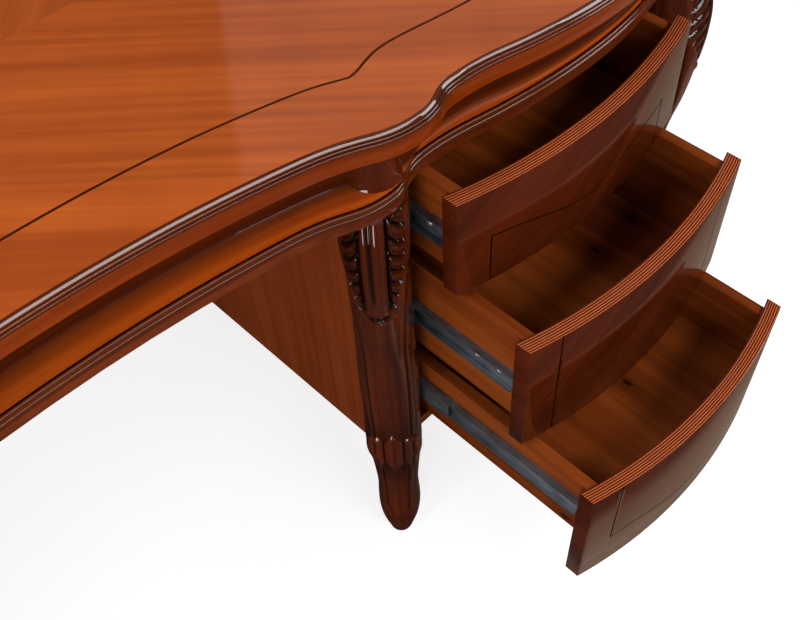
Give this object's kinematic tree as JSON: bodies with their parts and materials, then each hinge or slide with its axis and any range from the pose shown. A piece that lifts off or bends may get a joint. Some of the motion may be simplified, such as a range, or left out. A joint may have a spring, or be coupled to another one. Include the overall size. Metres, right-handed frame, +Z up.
{
  "type": "captains desk",
  "caption": "Serpentine double-pedestal writing desk with bowed drawers on telescopic slides and carved cabriole legs.",
  "frame": {"origin": "on the floor under the middle of the whole bounding box, with the right-hand drawers standing open as drawn", "axes": "+Z up, +X to the right of the person at the desk, -Y towards that person, so the drawers pull out along -Y"},
  "size_m": [1.8986, 1.2138, 0.78],
  "materials": {
    "polished_wood": "high-gloss lacquered orange-brown veneer",
    "carved_wood": "glossy stained carved hardwood",
    "front_wood": "satin dark red-brown bent lamination",
    "panel_wood": "satin stained veneered board",
    "drawer_wood": "clear-finished softwood with knots",
    "zinc_steel": "galvanised sheet steel"
  },
  "bodies": {
    "desk": {"top_panel": "polished_wood", "top_edge_moulding": "polished_wood", "frieze_front": "polished_wood", "frieze_back": "polished_wood", "frieze_left": "polished_wood", "frieze_right": "polished_wood", "waist_frame": "polished_wood", "waist_bead": "polished_wood", "corner_bosses": "polished_wood", "modesty_panel": "polished_wood", "leg_right_front_inner": "carved_wood", "leg_right_front_outer": "carved_wood", "leg_right_rear_inner": "carved_wood", "leg_right_rear_outer": "carved_wood", "leg_left_front_inner": "carved_wood", "leg_left_front_outer": "carved_wood", "leg_left_rear_inner": "carved_wood", "leg_left_rear_outer": "carved_wood", "right_kneehole_panel": "panel_wood", "right_outer_panel": "panel_wood", "right_pedestal_bottom": "panel_wood", "right_pedestal_back": "panel_wood", "left_kneehole_panel": "panel_wood", "left_outer_panel": "panel_wood", "left_pedestal_bottom": "panel_wood", "left_pedestal_back": "panel_wood", "slide_battens": "drawer_wood", "slide_outer_members": "zinc_steel"},
    "right_top_drawer": {"right_top_drawer_front": "front_wood", "right_top_drawer_box": "drawer_wood", "right_top_drawer_bottom": "drawer_wood", "right_top_drawer_runners": "zinc_steel"},
    "right_top_slide": {"right_top_slide_middles": "zinc_steel"},
    "right_middle_drawer": {"right_middle_drawer_front": "front_wood", "right_middle_drawer_box": "drawer_wood", "right_middle_drawer_bottom": "drawer_wood", "right_middle_drawer_runners": "zinc_steel"},
    "right_middle_slide": {"right_middle_slide_middles": "zinc_steel"},
    "right_bottom_drawer": {"right_bottom_drawer_front": "front_wood", "right_bottom_drawer_box": "drawer_wood", "right_bottom_drawer_bottom": "drawer_wood", "right_bottom_drawer_runners": "zinc_steel"},
    "right_bottom_slide": {"right_bottom_slide_middles": "zinc_steel"},
    "left_top_drawer": {"left_top_drawer_front": "front_wood", "left_top_drawer_box": "drawer_wood", "left_top_drawer_bottom": "drawer_wood", "left_top_drawer_runners": "zinc_steel"},
    "left_top_slide": {"left_top_slide_middles": "zinc_steel"},
    "left_middle_drawer": {"left_middle_drawer_front": "front_wood", "left_middle_drawer_box": "drawer_wood", "left_middle_drawer_bottom": "drawer_wood", "left_middle_drawer_runners": "zinc_steel"},
    "left_middle_slide": {"left_middle_slide_middles": "zinc_steel"},
    "left_bottom_drawer": {"left_bottom_drawer_front": "front_wood", "left_bottom_drawer_box": "drawer_wood", "left_bottom_drawer_bottom": "drawer_wood", "left_bottom_drawer_runners": "zinc_steel"},
    "left_bottom_slide": {"left_bottom_slide_middles": "zinc_steel"}
  },
  "joints": [
    {"name": "right_top_drawer_slide", "type": "slide", "parent": "desk", "child": "right_top_drawer", "axis": [0, -1, 0], "range_m": [-0.069, 0.331]},
    {"name": "right_top_slide_travel", "type": "slide", "parent": "desk", "child": "right_top_slide", "axis": [0, -1, 0], "range_m": [-0.0345, 0.1655]},
    {"name": "right_middle_drawer_slide", "type": "slide", "parent": "desk", "child": "right_middle_drawer", "axis": [0, -1, 0], "range_m": [-0.17, 0.23]},
    {"name": "right_middle_slide_travel", "type": "slide", "parent": "desk", "child": "right_middle_slide", "axis": [0, -1, 0], "range_m": [-0.085, 0.115]},
    {"name": "right_bottom_drawer_slide", "type": "slide", "parent": "desk", "child": "right_bottom_drawer", "axis": [0, -1, 0], "range_m": [-0.276, 0.124]},
    {"name": "right_bottom_slide_travel", "type": "slide", "parent": "desk", "child": "right_bottom_slide", "axis": [0, -1, 0], "range_m": [-0.138, 0.062]},
    {"name": "left_top_drawer_slide", "type": "slide", "parent": "desk", "child": "left_top_drawer", "axis": [0, -1, 0], "range_m": [0, 0.4]},
    {"name": "left_top_slide_travel", "type": "slide", "parent": "desk", "child": "left_top_slide", "axis": [0, -1, 0], "range_m": [0, 0.2]},
    {"name": "left_middle_drawer_slide", "type": "slide", "parent": "desk", "child": "left_middle_drawer", "axis": [0, -1, 0], "range_m": [0, 0.4]},
    {"name": "left_middle_slide_travel", "type": "slide", "parent": "desk", "child": "left_middle_slide", "axis": [0, -1, 0], "range_m": [0, 0.2]},
    {"name": "left_bottom_drawer_slide", "type": "slide", "parent": "desk", "child": "left_bottom_drawer", "axis": [0, -1, 0], "range_m": [0, 0.4]},
    {"name": "left_bottom_slide_travel", "type": "slide", "parent": "desk", "child": "left_bottom_slide", "axis": [0, -1, 0], "range_m": [0, 0.2]}
  ],
  "couplings": [
    {"joint": "right_top_slide_travel", "follows": "right_top_drawer_slide", "ratio": 0.5},
    {"joint": "right_middle_slide_travel", "follows": "right_middle_drawer_slide", "ratio": 0.5},
    {"joint": "right_bottom_slide_travel", "follows": "right_bottom_drawer_slide", "ratio": 0.5},
    {"joint": "left_top_slide_travel", "follows": "left_top_drawer_slide", "ratio": 0.5},
    {"joint": "left_middle_slide_travel", "follows": "left_middle_drawer_slide", "ratio": 0.5},
    {"joint": "left_bottom_slide_travel", "follows": "left_bottom_drawer_slide", "ratio": 0.5}
  ]
}
